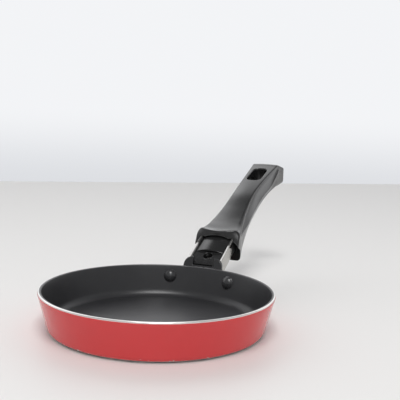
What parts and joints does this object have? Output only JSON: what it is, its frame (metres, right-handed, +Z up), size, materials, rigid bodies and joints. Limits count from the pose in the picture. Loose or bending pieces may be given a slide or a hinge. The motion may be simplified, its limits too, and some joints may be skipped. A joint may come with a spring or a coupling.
{
  "type": "frying pan",
  "caption": "Small non-stick frying pan with a red enamelled wall, a riveted bracket, a polished steel neck and a hooded, rising handle with a hanging slot.",
  "frame": {"origin": "centre of the base's underside, on the plane that the pan stands on", "axes": "+Z up out of the pan, +Y from the pan's axis along the handle, +X to the right of someone who looks along +Y"},
  "size_m": [0.1594, 0.3397, 0.1028],
  "materials": {
    "bare_aluminium": "turned, bright at the rim and ringed under the base",
    "nonstick": "satin dark grey fluoropolymer coat with a fine grain",
    "red_enamel": "glossy heat-proof red lacquer",
    "coated_rivet": "aluminium under the same dark coat",
    "coated_steel": "pressed steel with a black coat",
    "polished_steel": "polished sheet steel",
    "phenolic": "compression-moulded black phenolic with a soft sheen",
    "screw_steel": "zinc-plated steel"
  },
  "bodies": {
    "root": {"pan_body": "bare_aluminium", "nonstick_lining": "nonstick", "red_enamel": "red_enamel", "rivet_left": "coated_rivet", "rivet_right": "coated_rivet", "bracket_plate": "coated_steel", "steel_channel": "polished_steel", "handle": "phenolic", "fixing_screw": "screw_steel", "screw_washer": "screw_steel", "square_nut": "screw_steel"}
  },
  "joints": []
}
